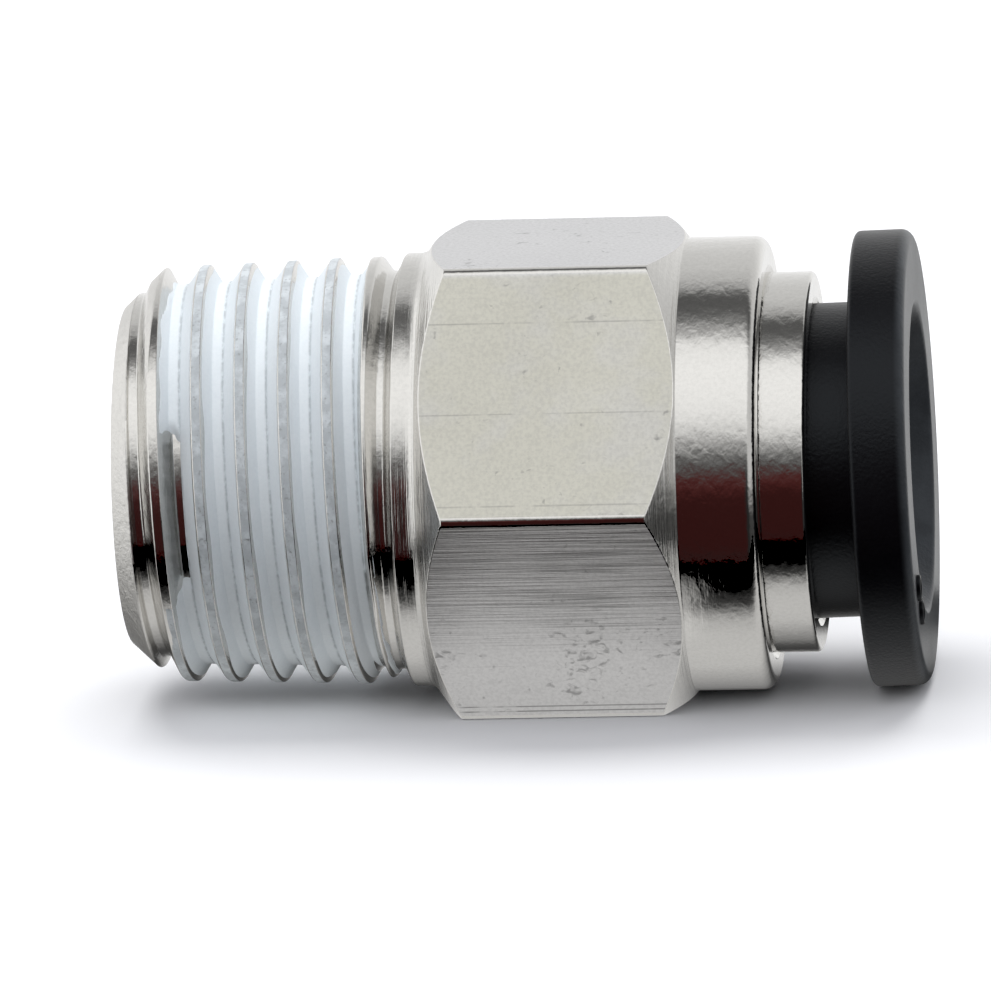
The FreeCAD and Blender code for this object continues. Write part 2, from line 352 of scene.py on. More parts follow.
def streak_and_painted_light_recipe(nodes, inputs, place):
    """Height and darkness of lines along X: noise squeezed across the bar and stretched along it.

    Below the middle of the bar the lines are dense and fade out towards its bottom; above it only
    a few fine ones are left.
    """
    wide = nodes.noise(nodes.stretched(place, WIDE_STREAKS), 1.0, 3.0, 0.6, 0.25)
    fine = nodes.noise(nodes.stretched(place, FINE_STREAKS), 1.0, 3.0, 0.6)
    lines = nodes.math("MULTIPLY_ADD", fine, 0.9, nodes.math("MULTIPLY", wide, 0.7))
    up = nodes.add("ShaderNodeSeparateXYZ", None, Vector=place).outputs[2]
    dense = nodes.math("MULTIPLY", nodes.remap(up, -0.0001, 0.0002, 1.0, 0.0),
                       nodes.remap(up, -0.0052, -0.0025, 0.35, 1.0))
    patch = nodes.remap(nodes.noise(place, 260, 3.0), 0.38, 0.6, 0.35, 1.0)
    edge = nodes.math("MULTIPLY_ADD", dense, -0.20, 1.02)
    dark = nodes.math("MULTIPLY", nodes.math("SUBTRACT", lines, edge), 5.0, clamp=True)
    dark = nodes.math("MULTIPLY", dark, patch)
    for height, width, strength in SCORES:
        beside = nodes.math("ABSOLUTE", nodes.math("SUBTRACT", up, height))
        score = nodes.remap(beside, width * 0.4, width, strength, 0.0)
        along = nodes.noise(nodes.stretched(place, (700, 90, 90)), 1.0, 3.0)
        broken = nodes.remap(along, 0.38, 0.5, 0.15, 1.0)
        dark = nodes.math("MAXIMUM", dark, nodes.math("MULTIPLY", score, broken))
    height = nodes.math("MULTIPLY", nodes.math("MULTIPLY_ADD", dense, 7.0, 0.7),
                        nodes.math("SUBTRACT", lines, 0.8))
    # Masks for painted light: the top flat for a pale painted highlight, and the upper slanted
    # flats, clouded, for a warm painted reflection.
    top = nodes.remap(up, 0.0067, 0.0070)
    front = nodes.math("SUBTRACT", nodes.remap(up, -0.0004, 0.0004), top)
    cloud = nodes.remap(nodes.noise(place, 330, 4.0, 0.6), 0.30, 0.62, 0.45, 1.15)
    return (nodes.math("MULTIPLY", height, inputs["Strength"]), dark,
            nodes.math("MULTIPLY", front, cloud), top)


drawn_streaks = group("drawn_streaks", [("Strength", 1.0)], ["Height", "Dark", "Warm", "Top"],
                      streak_and_painted_light_recipe)

# %% [markdown]
# ### Pits, grain and slow changes
#
# Plating over a drawn bar leaves small pits. Only the highest peaks of a fine noise count as pits,
# and a slow noise lowers that limit where they gather, as does a band near the bar's foot. A
# Voronoi texture would make them too, but too even and too round. Moulded plastic has an even fine
# grain, and every real surface changes a little from place to place, which a low noise gives.

# %% pits, grain and slow changes
PITTED_DEPTH = 5.2 * MM
PITTED_BAND = (0.8 * MM, 2.2 * MM)


def pit_recipe(nodes, inputs, place):
    """Mask of pits: specks of a fine noise, where a slow noise is high or near the bar's foot."""
    specks = nodes.noise(nodes.stretched(place, (3300, 4200, 4200)), 1.0, 2.0, 0.5, 0.6)
    up = nodes.add("ShaderNodeSeparateXYZ", None, Vector=place).outputs[2]
    from_band = nodes.math("ABSOLUTE", nodes.math("ADD", up, PITTED_DEPTH))
    low = nodes.remap(from_band, *PITTED_BAND, 0.75, 0.0)
    gathered = nodes.math("ADD", nodes.remap(nodes.noise(place, 420, 3.0), 0.38, 0.62), low)
    more = nodes.math("MULTIPLY", gathered, inputs["Amount"])
    edge = nodes.math("MULTIPLY_ADD", more, -0.22, 0.78)
    return (nodes.math("MULTIPLY", nodes.math("SUBTRACT", specks, edge), 6.0, clamp=True),)


pits = group("pits", [("Amount", 0.5)], ["Mask"], pit_recipe)


def wave_recipe(nodes, inputs, place):
    """Height of the plated skin's low waves, a few tenths of a millimetre across."""
    wave = nodes.noise(nodes.stretched(place, (3800, 2600, 2600)), 1.0, 2.0, 0.5, 0.3)
    return (nodes.math("MULTIPLY", wave, inputs["Strength"]),)


wavy_skin = group("wavy_skin", [("Strength", 1.0)], ["Height"], wave_recipe)


def grain_recipe(nodes, inputs, place):
    """Fine even noise of a mould's eroded wall, and a slower one for faint flow marks."""
    fine = nodes.noise(place, 9000, 4.0, 0.6)
    flow = nodes.noise(place, 900, 3.0)
    height = nodes.math("MULTIPLY_ADD", flow, 0.6, fine)
    return nodes.math("MULTIPLY", height, inputs["Strength"]), nodes.remap(fine, 0.35, 0.7)


moulded_grain = group("moulded_grain", [("Strength", 1.0)], ["Height", "Speckle"], grain_recipe)


def slow_recipe(nodes, inputs, place):
    """A cloud that drifts between -1 and 1 over a few millimetres, times an amount."""
    cloud = nodes.noise(place, 230, 4.0, 0.6)
    wide = nodes.math("MULTIPLY_ADD", cloud, 4.0, -2.0)
    return (nodes.math("MULTIPLY", wide, inputs["Amount"]),)


slow_change = group("slow_change", [("Amount", 0.1)], ["Value"], slow_recipe)

# %% [markdown]
# ## Finishes
#
# Nickel plating is a warm, slightly yellow grey metal. On the turned collar it is nearly a mirror,
# on the drawn flats it is satin, and at the thread's end it is blasted matt. They share one recipe
# with different strengths, and on the drawn flats the recipe adds a warm painted reflection to the
# upper slanted flats and a pale painted highlight to the top flat.

# %% nickel plating
NICKEL = (0.70, 0.69, 0.665, 1)
SATIN_NICKEL = (0.68, 0.675, 0.67, 1)
# The next two colours are painted light for the drawn flats: a pale painted highlight on the top
# flat and a warm painted reflection on the upper slanted flats.
PAINTED_TOP_HIGHLIGHT = (0.86, 0.86, 0.87, 1)
PAINTED_WARM_REFLECTION = (0.665, 0.655, 0.585, 1)
WORN_SHADE = 0.42
PLATING_RELIEF = 4e-6


def material(name):
    """A new material with its Principled BSDF, and the helper that adds nodes to it."""
    made = bpy.data.materials.new(name)
    made.use_nodes = True
    nodes = Nodes(made.node_tree)
    shader = nodes.add("ShaderNodeBsdfPrincipled")
    output = nodes.add("ShaderNodeOutputMaterial")
    made.node_tree.links.new(shader.outputs[0], output.inputs[0])
    print("material", name)
    return made, nodes, shader


def bump(nodes, shader, height, distance):
    """Feed a height through a Bump node to the shader's normal; distance is in metres."""
    node = nodes.add("ShaderNodeBump", None, Distance=distance, Height=height)
    nodes.set(shader, "Normal", node.outputs[0])


def nickel(name, base, roughness, turned=0.0, drawn=0.0, pitted=0.0, rough_grain=0.0, peel=0.0):
    """Nickel plating: lathe lines, drawn streaks, pits, a matt grain and a wavy skin; on drawn
    flats also a warm painted reflection and a pale painted highlight on top.
    """
    made, nodes, shader = material(name)
    marks = use(nodes, turning_marks, Strength=turned)
    lines = use(nodes, drawn_streaks, Strength=drawn)
    holes = use(nodes, pits, Amount=pitted)
    grain = use(nodes, moulded_grain, Strength=rough_grain)
    wave = use(nodes, wavy_skin, Strength=peel)
    drift = use(nodes, slow_change, Amount=0.04)["Value"]
    worn = nodes.math("MULTIPLY", lines["Dark"], drawn)
    worn = nodes.math("ADD", worn, nodes.math("MULTIPLY", holes["Mask"], pitted), clamp=True)
    dark = tuple(WORN_SHADE * part for part in base[:3]) + (1,)
    # Painted light: a warm painted reflection on the upper slanted flats and a pale painted
    # highlight on the top flat.
    tone = nodes.blend(nodes.math("MULTIPLY", lines["Warm"], drawn), base, PAINTED_WARM_REFLECTION)
    tone = nodes.blend(nodes.math("MULTIPLY", lines["Top"], drawn), tone, PAINTED_TOP_HIGHLIGHT)
    cloudy = nodes.math("MULTIPLY", grain["Speckle"], 0.10 + 0.10 * drawn)
    tone = nodes.blend(cloudy, tone, dark)
    nodes.set(shader, "Base Color", nodes.blend(worn, tone, dark))
    shine = nodes.math("ADD", nodes.math("ADD", drift, roughness),
                       nodes.math("MULTIPLY", worn, 0.15), clamp=True)
    nodes.set(shader, "Roughness", shine)
    shader.inputs["Metallic"].default_value = 1.0
    height = marks["Height"]
    for part in (lines["Height"], grain["Height"], wave["Height"]):
        height = nodes.math("ADD", height, part)
    height = nodes.math("SUBTRACT", height, nodes.math("MULTIPLY", holes["Mask"], pitted))
    bump(nodes, shader, height, PLATING_RELIEF)
    return made


turned_nickel = nickel("turned_nickel", NICKEL, 0.09, turned=1.2, rough_grain=0.5, peel=3.0)
marked_nickel = nickel("marked_nickel", NICKEL, 0.18, turned=7.0, rough_grain=0.8, peel=2.5)
drawn_nickel = nickel("drawn_nickel", SATIN_NICKEL, 0.46, drawn=1.0, pitted=0.7, rough_grain=0.7)
matt_nickel = nickel("matt_nickel", NICKEL, 0.36, pitted=0.25, rough_grain=7.0, peel=9.0)
thread_nickel = nickel("thread_nickel", NICKEL, 0.15, turned=2.0, rough_grain=1.2, peel=3.0)
ring_nickel = nickel("ring_nickel", NICKEL, 0.10, turned=0.8, rough_grain=0.6, peel=3.0)

# %% [markdown]
# The sealant is a dry, chalky coat, white with a hint of blue. The plastics and the rubber are
# close to black or to cream, and it is their grain and their soft highlights that tell them apart.

# %% sealant, plastics, rubber and steel
BLACK = ((0.0010, 0.0008, 0.0014, 1), (0.0030, 0.0031, 0.0042, 1))
BLUE_SHEEN = (0.86, 0.93, 1.0, 1)
CREAM = ((0.74, 0.71, 0.62, 1), (0.62, 0.59, 0.50, 1))
RUBBER = ((0.012, 0.012, 0.012, 1), (0.022, 0.022, 0.022, 1))
SEALANT = ((0.82, 0.865, 0.89, 1), (0.71, 0.765, 0.80, 1))
# The next grey is both the coat worn on the crests and the painted shade in its crease and along
# the groove edges.
WORN_AND_SHADED_SEALANT = (0.26, 0.285, 0.30, 1)
BARE_CREST = (0.34, 0.355, 0.37, 1)


def coated(name, light, shade, roughness, strength, distance, specular=0.5):
    """A matt coat or plastic: two tones mixed by slow changes, and a fine grain as bump."""
    made, nodes, shader = material(name)
    grain = use(nodes, moulded_grain, Strength=strength)
    drift = use(nodes, slow_change, Amount=0.5)["Value"]
    tone = nodes.math("ADD", nodes.math("MULTIPLY", grain["Speckle"], 0.25),
                      nodes.math("MULTIPLY_ADD", drift, 0.5, 0.35), clamp=True)
    colour = nodes.blend(tone, light, shade)
    nodes.set(shader, "Base Color", colour)
    nodes.set(shader, "Roughness", nodes.math("MULTIPLY_ADD", drift, 0.08, roughness))
    shader.inputs["Specular IOR Level"].default_value = specular
    bump(nodes, shader, grain["Height"], distance)
    return made, nodes, shader, colour


def black(name):
    """Black plastic with a slightly blue sheen, and what is needed to add to it."""
    parts = coated(name, *BLACK, 0.34, 1.8, 9e-6, specular=0.26)
    parts[2].inputs["Specular Tint"].default_value = BLUE_SHEEN
    return parts


black_plastic = black("black_plastic")[0]
cream_plastic = coated("cream_plastic", *CREAM, 0.45, 0.6, 4e-6)[0]
seal_rubber = coated("seal_rubber", *RUBBER, 0.38, 0.8, 5e-6)[0]
claw_steel = nickel("claw_steel", NICKEL, 0.22, turned=0.2, rough_grain=0.3)


def sealant_finish():
    """The chalky coat; where it was rubbed on the crests, specks of metal and grey show through. A
    broken grey line along the coat's crease and the groove edges is painted shade.
    """
    made, nodes, shader, coat = coated("dry_sealant", *SEALANT, 0.5, 1.6, 5e-6)
    place = nodes.add("ShaderNodeTexCoord").outputs["Object"]
    rubbed = nodes.add("ShaderNodeAttribute", {"attribute_name": "rubbed"}).outputs["Fac"]
    crease = nodes.add("ShaderNodeAttribute", {"attribute_name": "crease"}).outputs["Fac"]
    specks = nodes.noise(place, 9000, 4.0, 0.65)
    edge = nodes.math("MULTIPLY_ADD", rubbed, -0.22, 0.80)
    bare = nodes.math("MULTIPLY", nodes.math("SUBTRACT", specks, edge), 9.0, clamp=True)
    broken = nodes.remap(nodes.noise(place, 3600, 5.0, 0.65), 0.36, 0.60, 0.15, 1.0)
    # Painted shade: a broken grey line down the coat's crease and along the groove edges, joined
    # below with the real wear of the crests.
    line = nodes.math("MULTIPLY", crease, broken)
    patchy = nodes.remap(nodes.noise(place, 1500, 4.0, 0.65), 0.35, 0.60, 0.30, 0.62)
    worn = nodes.math("MULTIPLY", rubbed, patchy)
    grey = nodes.math("MAXIMUM", nodes.math("MULTIPLY", line, 0.72), worn)
    colour = nodes.blend(grey, coat, WORN_AND_SHADED_SEALANT)
    nodes.set(shader, "Base Color", nodes.blend(bare, colour, BARE_CREST))
    nodes.set(shader, "Metallic", nodes.math("MULTIPLY", bare, 0.7))
    nodes.set(shader, "Roughness", nodes.math("MULTIPLY_ADD", bare, -0.22, 0.52))
    return made


dry_sealant = sealant_finish()

# %% [markdown]
# ## The body
#
# The body is turned from one hexagonal bar. Its outline starts at the neck behind the thread, runs
# over the hexagon and the collar to the mouth, comes back through the stepped bore, and ends on
# the chamfer at the thread's small end. Only the two chamfers of the hexagon depend on the angle:
# a cone meets a flat in a curved edge, because the flat is nearer to the axis than the corners.
# So the outline is worked out for every column at once, and that edge falls on a line of the grid.

# %% the hexagon seen along the axis
CORNER_ROUND = 0.30
FLAT_COLUMNS = 24
CORNER_COLUMNS = 9
HALF_SECTOR = math.pi / 6
CORNER_TOUCH = math.atan((flat - CORNER_ROUND) * math.tan(HALF_SECTOR) / flat)


def hexagon_angles():
    """Angles of the columns: even steps over each flat, and close ones round each corner."""
    beside = math.radians(0.2)
    over_flat = np.linspace(-CORNER_TOUCH + beside, CORNER_TOUCH - beside, FLAT_COLUMNS)
    round_corner = np.linspace(CORNER_TOUCH, math.pi / 3 - CORNER_TOUCH, CORNER_COLUMNS)
    sector = np.concatenate([over_flat, round_corner])
    angles = (sector[None] + np.arange(6)[:, None] * math.pi / 3).ravel()
    return np.append(angles, angles[0] + TURN)


def past_flat(angle):
    """Angle past the middle of the nearest flat, from minus to plus half a sector."""
    return (angle + HALF_SECTOR) % (math.pi / 3) - HALF_SECTOR


def hexagon_radius(angle):
    """Distance from the axis to the rounded hexagon: a flat's line, or an arc near a corner."""
    from_flat = past_flat(angle)
    on_flat = flat / np.cos(from_flat)
    centre = (flat - CORNER_ROUND) / math.cos(HALF_SECTOR)
    past_corner = HALF_SECTOR - np.abs(from_flat)
    offset = np.minimum(centre * np.sin(past_corner), CORNER_ROUND)
    on_arc = centre * np.cos(past_corner) + np.sqrt(CORNER_ROUND ** 2 - offset ** 2)
    return np.where(np.abs(from_flat) > CORNER_TOUCH, on_arc, on_flat)


angles = hexagon_angles()
print(len(angles) - 1, "columns, corners at radius", round(float(hexagon_radius(HALF_SECTOR)), 3))

# %% [markdown]
# ### The taper thread
#
# An R 1/4 thread has 19 turns to the inch and grows by 1 in 16. Seen in section, one pitch is a
# crest, a flank at 27.5 degrees, a root and the other flank. On a plain grid the crest would cross
# the columns and look like a staircase. So the rows follow the screw: every row starts a little
# further along with each column, and after one turn it has moved on by one pitch, where it meets
# the next row of its kind. Rows that run past the end of the thread are held at the end.

# %% the thread's section and surface
PITCH = 25.4 / 19
TAPER = 1 / 32
CREST_RADIUS = 6.50
GROOVE_AT_TOP = -0.15
GROOVE_DEPTH = 0.74
ROOT_WIDTH = 0.28
FLANK = math.tan(math.radians(27.5))
THREAD_FROM = thread_end + 0.20
THREAD_TO = 2.80
END_FACE_RADIUS = 5.20
NECK_RADIUS = 6.64
NECK_FROM = 2.70
CRESTS_TO = 1.90
RELIEF_FROM, RELIEF_TO = 2.22, 2.45
RELIEF_RADIUS = 6.12
THREAD_STEP = 0.06
FADE_FROM = 1.45
FADE_SLOPE = 0.75
END_CHAMFER = 1.23


def crest_radius(x):
    """Radius of the crests, a cone of 1 in 32 on the radius."""
    return CREST_RADIUS + x * TAPER


half_root = ROOT_WIDTH / 2
half_mouth = half_root + GROOVE_DEPTH * FLANK
section = outline(
    (-PITCH / 2, 0, 0), (-half_mouth, 0, 0.05), (-half_root, GROOVE_DEPTH, 0.10),
    (half_root, GROOVE_DEPTH, 0.10), (half_mouth, 0, 0.05), (PITCH / 2, 0, 0))
chamfer_end = thread_end + END_CHAMFER
envelope = outline(
    (thread_end, END_FACE_RADIUS, 0), (chamfer_end, crest_radius(chamfer_end), 0.05),
    (CRESTS_TO, crest_radius(CRESTS_TO), 0.04), (RELIEF_FROM, RELIEF_RADIUS, 0.10),
    (RELIEF_TO, RELIEF_RADIUS, 0.10), (NECK_FROM, NECK_RADIUS, 0.05),
    (THREAD_TO + 1, NECK_RADIUS, 0))


def groove_phase(x, angle):
    """Distance along the axis to the nearest groove's middle, from minus to plus half a pitch."""
    along = x - PITCH * angle / TURN - GROOVE_AT_TOP
    return (along + PITCH / 2) % PITCH - PITCH / 2


def thread_radius(x, angle):
    """The lower of the bar's envelope and the groove, which rises out of the metal at its end."""
    depth = np.interp(groove_phase(x, angle), section[:, 0], section[:, 1])
    lifted = np.maximum(x - FADE_FROM, 0) * FADE_SLOPE
    blank = np.interp(x, envelope[:, 0], envelope[:, 1])
    return np.minimum(crest_radius(x) - depth + lifted, blank)


def screw_rows(stations, start, end):
    """Starting X of every row: the stations of one pitch, repeated to cover every column."""
    turns = math.ceil((end - start) / PITCH) + 2
    rows = stations[None, :] + PITCH * np.arange(turns + 1)[:, None]
    shift = (start - PITCH - GROOVE_AT_TOP) // PITCH * PITCH
    return rows.ravel() + shift + GROOVE_AT_TOP


def finer(stations, longest):
    """Stations with extra ones between, so that no step is longer than this."""
    steps = np.maximum(np.ceil(np.diff(stations) / longest).astype(int), 1)
    spans = zip(stations, stations[1:], steps)
    return np.concatenate([np.linspace(a, b, n, endpoint=False) for a, b, n in spans])


thread_stations = finer(section[:, 0], THREAD_STEP)
rows = screw_rows(thread_stations, THREAD_FROM, THREAD_TO)
thread_x = np.clip(rows[:, None] + PITCH * angles / TURN, THREAD_FROM, THREAD_TO)
thread_grid = carried_round(thread_x, thread_radius(thread_x, angles), angles)
print("thread grid:", thread_grid.shape[0], "rows,", thread_grid.shape[1], "columns")

# %% the outline over the hexagon and through the bore
RIDGE_FROM = 4.34
RIDGE_TO = 10.45
THREAD_SIDE_SLOPE = math.tan(math.radians(55))
TUBE_SIDE_SLOPE = math.tan(math.radians(51))
COLLAR_RADIUS = 6.95
COLLAR_ROUND = 0.50
CARTRIDGE_RADIUS = 5.85
MOUTH_CHAMFER = 0.20
SEAT_RADIUS = 4.05
SEAT_FROM = 0.90
SEAT_TO = 5.00
FLOW_RADIUS = 3.00
FLOW_CHAMFER = 0.25


def body_outline():
    """Corners from the neck over hexagon and collar, back through the bore, for every column."""
    hexagon = hexagon_radius(angles)
    corner = flat / math.cos(math.pi / 6)
    chamfer_from = RIDGE_FROM - (corner - hexagon) / THREAD_SIDE_SLOPE
    chamfer_to = RIDGE_TO + (corner - hexagon) / TUBE_SIDE_SLOPE
    neck_meets = RIDGE_FROM - (corner - NECK_RADIUS) / THREAD_SIDE_SLOPE
    collar_meets = RIDGE_TO + (corner - COLLAR_RADIUS) / TUBE_SIDE_SLOPE
    start_radius = float(np.interp(THREAD_FROM, envelope[:, 0], envelope[:, 1]))
    places = [
        (THREAD_TO, NECK_RADIUS, 0), (neck_meets, NECK_RADIUS, 0.75),
        (chamfer_from, hexagon, 0.065), (chamfer_to, hexagon, 0.065),
        (collar_meets, COLLAR_RADIUS, 0.05), (mouth, COLLAR_RADIUS, COLLAR_ROUND),
        (mouth, CARTRIDGE_RADIUS + MOUTH_CHAMFER, 0.03),
        (mouth - MOUTH_CHAMFER, CARTRIDGE_RADIUS, 0.05), (SEAT_TO, CARTRIDGE_RADIUS, 0.05),
        (SEAT_TO, SEAT_RADIUS, 0.05), (SEAT_FROM, SEAT_RADIUS, 0.05),
        (SEAT_FROM, FLOW_RADIUS, 0.05), (thread_end + FLOW_CHAMFER, FLOW_RADIUS, 0.05),
        (thread_end, FLOW_RADIUS + FLOW_CHAMFER, 0.05), (thread_end, END_FACE_RADIUS, 0.08),
        (THREAD_FROM, start_radius, 0)]
    table = [np.broadcast_arrays(x, radius, angles)[:2] for x, radius, _ in places]
    return rounded(np.array(table), [place[2] for place in places[1:-1]])


body_rows = body_outline()
body_grid = carried_round(body_rows[:, 0], body_rows[:, 1], angles)
body = make_piece("body_shell", [body_grid, thread_grid], drawn_nickel, "housing", ["body"])

# %% [markdown]
# One mesh, several finishes: each face takes the finish of the place it is in. The flats stay as
# the bar was drawn, the neck and chamfers show the tool's lines, the collar and the hexagon's
# rounded corners are nearly polished, and the thread's end is blasted.

# %% give the body's faces their finishes
for finish in (turned_nickel, marked_nickel, matt_nickel, thread_nickel):
    body.data.materials.append(finish)
DRAWN, TURNED, MARKED, MATT, THREAD = range(5)
EDGE = 0.02
BLASTED_SKIN = 0.03


def body_finish(centres, normals):
    """Number of the finish at each face, from where its centre is and how far it faces outwards."""
    x = centres[:, 0]
    radius = np.hypot(centres[:, 1], centres[:, 2])
    finish = np.full(len(x), MARKED)
    on_flat = (x > RIDGE_FROM - 0.8) & (x < RIDGE_TO + 1) & (radius > flat - EDGE)
    finish[on_flat & (np.abs(normals[:, 0]) < 0.2)] = DRAWN
    from_flat = past_flat(np.arctan2(-centres[:, 1], centres[:, 2]))
    finish[(finish == DRAWN) & (np.abs(from_flat) > CORNER_TOUCH)] = TURNED
    finish[(x > RIDGE_TO + 0.95) & (radius > CARTRIDGE_RADIUS + 0.05)] = TURNED
    finish[(x < NECK_FROM - EDGE) & (radius > FLOW_RADIUS + 1.6)] = THREAD
    on_chamfer = END_FACE_RADIUS + (x - thread_end) * (
        crest_radius(chamfer_end) - END_FACE_RADIUS) / END_CHAMFER
    at_end = (x < chamfer_end) & (radius > on_chamfer - BLASTED_SKIN)
    finish[at_end | ((x < thread_end + 0.01) & (radius > FLOW_RADIUS + 0.05))] = MATT
    return finish


def finish_faces(piece, chooser):
    """Write the material number that the chooser gives to every face."""
    count = len(piece.data.polygons)
    centres = np.empty(count * 3)
    normals = np.empty(count * 3)
    piece.data.polygons.foreach_get("center", centres)
    piece.data.polygons.foreach_get("normal", normals)
    chosen = chooser(centres.reshape(-1, 3) / MM, normals.reshape(-1, 3))
    piece.data.polygons.foreach_set("material_index", chosen.astype(np.int32))
    return np.bincount(chosen)


print("faces of each finish:", finish_faces(body, body_finish))

# %% [markdown]
# ## The sealant
#
# The maker wipes a wet sealant onto the turning thread and lets it dry. It fills the root of each
# groove, lies thick on the flank that faces the small end and thin on the other, and the crests
# stay nearly bare. The coat is a skin between two surfaces whose rows follow the screw: an outer
# one that dips under the metal where there is no sealant, and an inner one just below the metal.
# Nobody sees the inner one, so its rows are further apart.

# %% the sealant's coat
COAT_FROM = -5.05
COAT_TO = 2.25
LAST_CREST = 0.50
COAT_DEPTH = 0.53
CREASE_AT = 0.115
UNDER_METAL = 0.06
CREST_SKIN = 0.012
BARE_START = 0.55
COAT_STEP = 0.04
UNDER_STEP = 0.2
coat_section = outline(
    (-PITCH / 2, -CREST_SKIN, 0), (-half_mouth - 0.02, -CREST_SKIN, 0.03),
    (-half_root - (GROOVE_DEPTH - COAT_DEPTH) * FLANK + 0.04, COAT_DEPTH, 0.06),
    (CREASE_AT - 0.02, COAT_DEPTH - 0.01, 0.02), (CREASE_AT, COAT_DEPTH + 0.015, 0.01),
    (CREASE_AT + 0.04, COAT_DEPTH - 0.04, 0.02), (half_mouth + 0.03, -CREST_SKIN, 0.04),
    (PITCH / 2, -CREST_SKIN, 0))
WAVES = 9


def ripple(x, angle, seed, slowest=1.0, fastest=9.0):
    """A smooth, irregular value between about -1 and 1: waves of random pitch added together."""
    chance = np.random.default_rng(seed)
    total = 0
    for _ in range(WAVES):
        around = chance.integers(1, int(fastest) + 1)
        along = chance.uniform(slowest, fastest)
        total = total + np.sin(around * angle + along * x + chance.uniform(0, TURN))
    return total / math.sqrt(WAVES)


def smooth_step(value):
    """0 below 0, 1 above 1, and 3v squared minus 2v cubed between."""
    held = np.clip(value, 0, 1)
    return held * held * (3 - 2 * held)


WIPED_FROM, WIPED_TO = 1.15, 2.04
WIPED_TURN = 3


def wiped_away(x, angle):
    """1 where the first valley was left bare at the front, with ragged ends."""
    turned = np.broadcast_to(angle % TURN, np.shape(x + angle))
    ragged = 0.02 * ripple(x, angle, 11, slowest=4)
    span = smooth_step((turned - WIPED_FROM - ragged) / 0.03)
    span = span * smooth_step((WIPED_TO - ragged - turned) / 0.05)
    valley_side = PITCH * turned / TURN + GROOVE_AT_TOP - WIPED_TURN * PITCH + CREASE_AT
    return span * smooth_step((valley_side + 0.02 * ripple(x, angle, 13, slowest=5) - x) / 0.03)


def coat_radius(x, angle):
    """Outer surface of the coat: its section under the crests, ragged where the wiping began."""
    depth = np.interp(groove_phase(x, angle), coat_section[:, 0], coat_section[:, 1])
    surface = crest_radius(x) - depth + 0.010 * ripple(x, angle, 3) * smooth_step(depth / 0.2)
    begin = COAT_FROM + BARE_START + 0.05 * ripple(x * 0, angle, 5, fastest=23)
    past_last = x - PITCH * angle / TURN - GROOVE_AT_TOP - PITCH - LAST_CREST
    there = smooth_step((x - begin) / 0.08) * smooth_step((COAT_TO - x) / 0.05)
    there = there * smooth_step((0.02 * ripple(x * 0, angle, 17, fastest=40) - past_last) / 0.04)
    there = there * (1 - wiped_away(x, angle))
    blank = np.interp(x, envelope[:, 0], envelope[:, 1])
    hidden = thread_radius(x, angle) - UNDER_METAL
    return hidden + there * np.maximum(np.minimum(surface, blank + CREST_SKIN) - hidden, 0)


coat_rows = screw_rows(finer(coat_section[:, 0], COAT_STEP), COAT_FROM, COAT_TO)
coat_x = np.clip(coat_rows[:, None] + PITCH * angles / TURN, COAT_FROM, COAT_TO)
outer = carried_round(coat_x, coat_radius(coat_x, angles), angles)
under_corners = np.array([-PITCH / 2, -half_mouth, -half_root, half_root, half_mouth, PITCH / 2])
under_stations = finer(under_corners, UNDER_STEP)
under_rows = screw_rows(under_stations, COAT_FROM, COAT_TO)
under_x = np.clip(under_rows[:, None] + PITCH * angles / TURN, COAT_FROM, COAT_TO)
inner = carried_round(under_x, thread_radius(under_x, angles) - UNDER_METAL, angles)
sealant = make_piece("sealant_coat", [outer, inner[::-1]], dry_sealant, "housing",
                     ["thread_sealant"])


CREASE_WIDTH = 0.045
MOUTH_WIDTH = 0.035


def mark_coat(piece):
    """Attributes for the finish: 1 along the rubbed crests; for painted shade, up to 1 along their
    edges and 0.6 in the coat's crease.
    """
    place = np.empty(len(piece.data.vertices) * 3)
    piece.data.vertices.foreach_get("co", place)
    x, y, z = place.reshape(-1, 3).T / MM
    phase = groove_phase(x, np.arctan2(-y, z))
    depth = np.interp(phase, coat_section[:, 0], coat_section[:, 1])
    in_crease = smooth_step(1.4 - np.abs(phase - CREASE_AT) / CREASE_WIDTH)
    at_mouth = smooth_step(1.4 - np.abs(np.abs(phase) - half_mouth) / MOUTH_WIDTH)
    marks = {"rubbed": 1 - smooth_step((depth + 0.008) / 0.05),
             "crease": np.maximum(0.6 * in_crease, at_mouth)}
    for name, value in marks.items():
        made = piece.data.attributes.new(name, "FLOAT", "POINT")
        made.data.foreach_set("value", value.astype(np.float32))
    return {name: round(float(value.mean()), 3) for name, value in marks.items()}


print("coat marks:", mark_coat(sealant))

# %% [markdown]
# ## The rings
#
# The guide ring is pressed into the body's mouth and shows as a bright band. The release ring is
# the black part that a finger pushes: a flange, a neck that slides in the guide ring, a barb that
# keeps it in, and a thin nose that opens the claws.

# %% guide ring
RING_COLUMNS = 192
GUIDE_BORE = 4.90
GUIDE_POCKET = 5.25
GUIDE_LIP_FROM = 13.30
GUIDE_FLARE = 0.15
guide_radius = guide_high[2]
make_piece("guide_band", [lathe(closed_outline(
    (guide_low[0], guide_radius, 0.05), (guide_high[0], guide_radius, 0.14),
    (guide_high[0], GUIDE_BORE + GUIDE_FLARE, 0.04),
    (guide_high[0] - GUIDE_FLARE, GUIDE_BORE, 0.04),
    (GUIDE_LIP_FROM, GUIDE_BORE, 0.04), (GUIDE_LIP_FROM, GUIDE_POCKET, 0.04),
    (guide_low[0], GUIDE_POCKET, 0.04)), RING_COLUMNS)], ring_nickel, "housing", ["guide_ring"])

